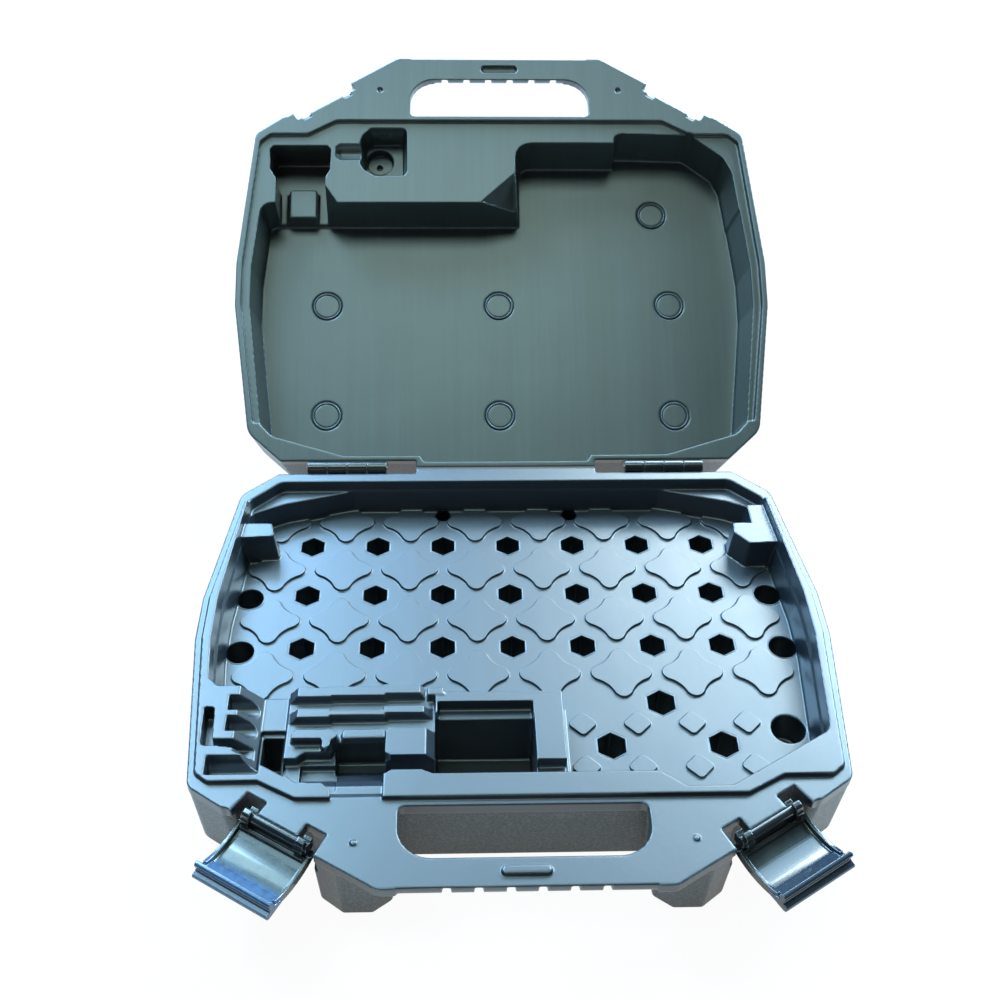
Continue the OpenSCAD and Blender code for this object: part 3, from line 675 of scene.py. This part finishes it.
# geometry nodes that set one form on every point, scaled, as plain faces
def buildPlacing():
    tree = bpy.data.node_groups.new("placeForms", "GeometryNodeTree")
    sockets = {}
    for label, kind in (("Points", "NodeSocketGeometry"), ("Form", "NodeSocketObject"),
                        ("Size", "NodeSocketFloat"), ("Material", "NodeSocketMaterial")):
        sockets[label] = tree.interface.new_socket(label, in_out="INPUT", socket_type=kind).identifier
    tree.interface.new_socket("Faces", in_out="OUTPUT", socket_type="NodeSocketGeometry")
    given, made = tree.nodes.new("NodeGroupInput"), tree.nodes.new("NodeGroupOutput")
    form = addNode(tree, "GeometryNodeObjectInfo", transform_space="ORIGINAL")
    spread = addNode(tree, "GeometryNodeInstanceOnPoints")
    real = addNode(tree, "GeometryNodeRealizeInstances")
    coat = addNode(tree, "GeometryNodeSetMaterial")
    join(tree, given.outputs["Points"], spread.inputs["Points"])
    join(tree, given.outputs["Form"], form.inputs["Object"])
    join(tree, form.outputs["Geometry"], spread.inputs["Instance"])
    join(tree, given.outputs["Size"], spread.inputs["Scale"])
    join(tree, spread.outputs["Instances"], real.inputs["Geometry"])
    join(tree, real.outputs["Geometry"], coat.inputs["Geometry"])
    join(tree, given.outputs["Material"], coat.inputs["Material"])
    join(tree, coat.outputs["Geometry"], made.inputs["Faces"])
    return tree, sockets


placeForms, placeSockets = buildPlacing()


def placed(name, points, formMesh, size, material):
    mesh = bpy.data.meshes.new(name + "Points")
    mesh.from_pydata([(x * mm, y * mm, z * mm) for x, y, z in points], [], [])
    holder, form = newObject(name + "Points", mesh), newObject(name + "Form", formMesh)
    maker = holder.modifiers.new("place", "NODES")
    maker.node_group = placeForms
    for label, value in (("Form", form), ("Size", size), ("Material", material)):
        maker[placeSockets[label]] = value
    made = evaluated(holder, name)
    for spare in (holder, form):
        bpy.data.objects.remove(spare)
    return made


# several placed forms in one mesh, turned from plan into the case and given their marks
def planPiece(name, half, parts, skins, regions):
    whole = bmesh.new()
    for number, (points, form, size) in enumerate(parts):
        mesh = placed(name + str(number), points, form, size, skins[0])
        whole.from_mesh(mesh)
    mesh = bpy.data.meshes.new(name)
    bmesh.ops.transform(whole, matrix=fromPlan(half), verts=whole.verts)
    bmesh.ops.recalc_face_normals(whole, faces=whole.faces)
    whole.to_mesh(mesh)
    whole.free()
    piece = finishPiece(mesh, name)
    markRegions(piece.data, half, regions)
    matWalls(piece.data, half, regions)
    dress(piece, skins, half)
    return piece


# crisp tile tops and well lips on the tray, in millimetres
tray = {
    "floor": 25.0, "cell": (43.5, 44.5), "firstRow": 51.5, "tile": 20.55, "tileCorner": 5.0, "tileBite": 22.0,
    "tileRise": 1.66, "tileSoft": 0.35, "smallTile": 8.75, "smallCorner": 2.6, "smallBite": 15.6,
    "smallFrom": (38.5, 201.0), "smallCell": (32.3, 30.5), "hex": 8.66, "lipRise": 0.22, "lipWidth": 0.9,
}


def trayTop(x, d):
    return x, d, tray["floor"]


def lipForm(name, radius, sides, turn=0.0):
    rise, width = tray["lipRise"], tray["lipWidth"]
    if sides == 6:
        width = width * 2 / math.sqrt(3)
    profile = [(radius - 0.12, 0.8), (radius - 0.05, -0.4 * rise), (radius + 0.35 * width, -rise),
               (radius + 0.7 * width, -0.7 * rise), (radius + width, 0.05), (radius + width, 0.8)]
    return ringForm(name, profile, sides, turn)


tilePoints = [trayTop(col * tray["cell"][0], tray["firstRow"] + (row - 0.5) * tray["cell"][1])
              for row in range(4) for col in (-3.5, -2.5, -1.5, -0.5, 0.5, 1.5, 2.5, 3.5)]
smallPoints = [trayTop(tray["smallFrom"][0] + col * tray["smallCell"][0],
                       tray["smallFrom"][1] + row * tray["smallCell"][1])
               for row in range(2) for col in range(4)]
hexPoints = [trayTop(col * tray["cell"][0], tray["firstRow"] + row * tray["cell"][1])
             for row in range(3) for col in range(-3, 4)]
bigHexPoints = [trayTop(x, d) for x, d in ((86.8, 185.4), (54.3, 216.1), (119.4, 216.1))]
roundWells = {8.6: [(-167, 98.5), (167, 98.5)], 8.8: [(-168.3, 143), (168.3, 143)]}
edge = tray["tileRise"], tray["tileSoft"]
tileShape = tileForm("tile", tray["tile"], tray["tileCorner"], tray["tileBite"], *edge)
smallShape = tileForm("smallTile", tray["smallTile"], tray["smallCorner"], tray["smallBite"], *edge, steps=64)
for shape in (tileShape, smallShape):
    shape.transform(Matrix.Diagonal((1, 1, -1, 1)))
    shape.flip_normals()
planPiece("trayTiles", "base", [(tilePoints, tileShape, 1.0), (smallPoints, smallShape, 1.0)],
          baseSkins, baseRegions)
lipParts = [(hexPoints, lipForm("hexLip", tray["hex"], 6, math.radians(30)), 1.0),
            (bigHexPoints, lipForm("bigHexLip", tray["hex"] + 0.6, 6, math.radians(30)), 1.0)]
for radius, places in roundWells.items():
    lipParts.append(([trayTop(x, d) for x, d in places], lipForm("roundLip", radius, 48), 1.0))
planPiece("wellLips", "base", lipParts, baseSkins, baseRegions)

# weld rings on the lid's floor, where the two skins are pinched together
welds = {
    "floor": 38.0, "sides": 56,
    "profile": [(9.0, 1.15), (9.0, 0.0), (9.3, -0.3), (9.7, -0.42), (10.1, -0.3),
                (10.35, 0.1), (10.35, 1.15)],
    "at": [(-129, 136), (-1.5, 136), (126, 136), (-128, 50.5), (-2, 50), (126, 49.5), (116, 210)],
}
weldPoints = [(x, d, welds["floor"]) for x, d in welds["at"]]
weldShape = ringForm("weldRing", welds["profile"], welds["sides"])
planPiece("weldRings", "lid", [(weldPoints, weldShape, 1.0)], lidSkins, lidRegions)
print("tiles, lips and weld rings ready")

for side in ("left", "right"):
    latch = easeNode("latch_" + side, "latch" + side.title(), side, **smallEase)
    markLatch(latch.data, side)
    dress(latch, [latchMaterial], "latch_" + side)
    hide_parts("latch_" + side)
    for half in ("base", "lid"):
        leaf = easeNode(half + "_hinge_leaf_" + side, half + "HingeLeaf" + side.title(), half, **smallEase)
        dress(leaf, [hingeMaterial], half)
        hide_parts(half + "_hinge_leaf_" + side)
    rod = easeNode("latch_rod_" + side, "latchBar" + side.title(), side, **smallEase)
    markLatch(rod.data, side)
    dress(rod, [latchMaterial], "base")
    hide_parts("latch_rod_" + side)
    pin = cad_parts["hinge_pin_" + side]
    pin.data.materials.clear()
    pin.data.materials.append(pinMaterial)
print("fittings ready")


floorLook = {
    "tones": ((0.60, 0.61, 0.62), (0.66, 0.66, 0.66)), "mottle": 3.0, "rough": 0.9, "specular": 0.1,
    "glow": 1.06, "cameraShare": 0.9, "mirrorShare": 0.45, "halfWidth": 6, "cells": 8, "drop": 0.0002,
}


# pale floor that the camera sees as white, and gloss as pale grey
def floorMaterial():
    material, tree, shader = startMaterial("paleFloor")
    coords = addNode(tree, "ShaderNodeTexCoord")
    mottle = noise(tree, coords.outputs["Object"], floorLook["mottle"], 2.0)
    join(tree, mixColor(tree, mottle, *floorLook["tones"]), shader.inputs["Base Color"])
    shader.inputs["Roughness"].default_value = floorLook["rough"]
    shader.inputs["Specular IOR Level"].default_value = floorLook["specular"]
    glow = addNode(tree, "ShaderNodeEmission", {"Color": (1, 1, 1, 1), "Strength": floorLook["glow"]})
    path = addNode(tree, "ShaderNodeLightPath")
    mirrored = mathNode(tree, "MAXIMUM", path.outputs["Is Glossy Ray"], path.outputs["Is Transmission Ray"])
    mirrored = times(tree, mirrored, floorLook["mirrorShare"])
    direct = times(tree, path.outputs["Is Camera Ray"], floorLook["cameraShare"])
    blend = addNode(tree, "ShaderNodeMixShader")
    join(tree, mathNode(tree, "MAXIMUM", direct, mirrored), blend.inputs[0])
    join(tree, shader.outputs[0], blend.inputs[1])
    join(tree, glow.outputs[0], blend.inputs[2])
    join(tree, blend.outputs[0], tree.nodes["Material Output"].inputs["Surface"])
    return material


sheetMesh = bmesh.new()
bmesh.ops.create_grid(sheetMesh, x_segments=floorLook["cells"], y_segments=floorLook["cells"],
                      size=floorLook["halfWidth"])
floorMesh = bpy.data.meshes.new("floor")
sheetMesh.to_mesh(floorMesh)
sheetMesh.free()
floor = newObject("floor", floorMesh)
floor.location.z = -floorLook["drop"]
floor.data.materials.append(floorMaterial())

# a bank of soft windows behind the case, bluest on the left, two faint ones overhead and a weak front fill
# turn and lift are in degrees about the case, power in watts
lamps = {
    "windowFarRight": {"turn": 50, "lift": 38, "power": 98, "tint": (0.46, 0.78, 1.0)},
    "windowRight": {"turn": 25, "lift": 38, "power": 60, "tint": (0.74, 0.92, 1.0)},
    "windowLeft": {"turn": -25, "lift": 38, "power": 74, "tint": (0.30, 0.60, 1.0)},
    "windowFarLeft": {"turn": -50, "lift": 55, "power": 60, "tint": (0.41, 0.73, 1.0)},
    "skyLeft": {"turn": -25, "lift": 55, "power": 17, "tint": (0.53, 0.85, 1.0)},
    "skyRight": {"turn": 25, "lift": 55, "power": 17, "tint": (0.45, 0.74, 1.0)},
    "overhead": {"turn": 180, "lift": 86, "power": 15, "tint": (0.68, 0.98, 0.88)},
    "overheadLeft": {"turn": -100, "lift": 70, "power": 11, "tint": (0.50, 0.85, 1.0)},
    "frontFill": {"turn": 195, "lift": 25, "power": 1.5, "tint": (1.0, 1.0, 0.97)},
}
lampReach, lampSize, lampAim = 3.2, (1.25, 0.95), Vector((0, 0.1, 0.05))
for name, lamp in lamps.items():
    light = bpy.data.lights.new(name, "AREA")
    light.shape, light.size, light.size_y = "RECTANGLE", *lampSize
    light.energy, light.color = lamp["power"], lamp["tint"]
    turn, lift = math.radians(lamp["turn"]), math.radians(lamp["lift"])
    away = Vector((math.sin(turn) * math.cos(lift), math.cos(turn) * math.cos(lift), math.sin(lift)))
    holder = newObject(name, light)
    holder.location = lampAim + away * lampReach
    holder.rotation_euler = away.to_track_quat("Z", "Y").to_euler()

airLight = {"Color": (0.80, 0.86, 0.90, 1), "Strength": 0.05}
world = bpy.data.worlds.new("studio")
scene.world = world
world.use_nodes = True
for label, value in airLight.items():
    world.node_tree.nodes["Background"].inputs[label].default_value = value

# the photograph's camera, solved from the outline of the two halves
view = {
    "at": (-0.0355, -0.4958, 0.6165), "yaw": 2.267, "pitch": 42.83, "roll": 1.159,
    "lens": 44.777, "sensor": 36, "shift": (0.0093, 0.0043),
}
yaw, pitch, roll = (math.radians(view[key]) for key in ("yaw", "pitch", "roll"))
ahead = Vector((math.sin(yaw) * math.cos(pitch), math.cos(yaw) * math.cos(pitch), -math.sin(pitch)))
level = Vector((math.cos(yaw), -math.sin(yaw), 0))
above = level.cross(ahead)
right = math.cos(roll) * level + math.sin(roll) * above
top = math.cos(roll) * above - math.sin(roll) * level
lens = bpy.data.cameras.new("camera")
lens.lens, lens.sensor_width = view["lens"], view["sensor"]
lens.shift_x, lens.shift_y = view["shift"]
camera = newObject("camera", lens)
turn = Matrix((right, top, -ahead)).transposed().to_4x4()
camera.matrix_world = Matrix.Translation(view["at"]) @ turn
scene.camera = camera
scene.view_settings.view_transform = "Standard"
print("studio and camera ready")
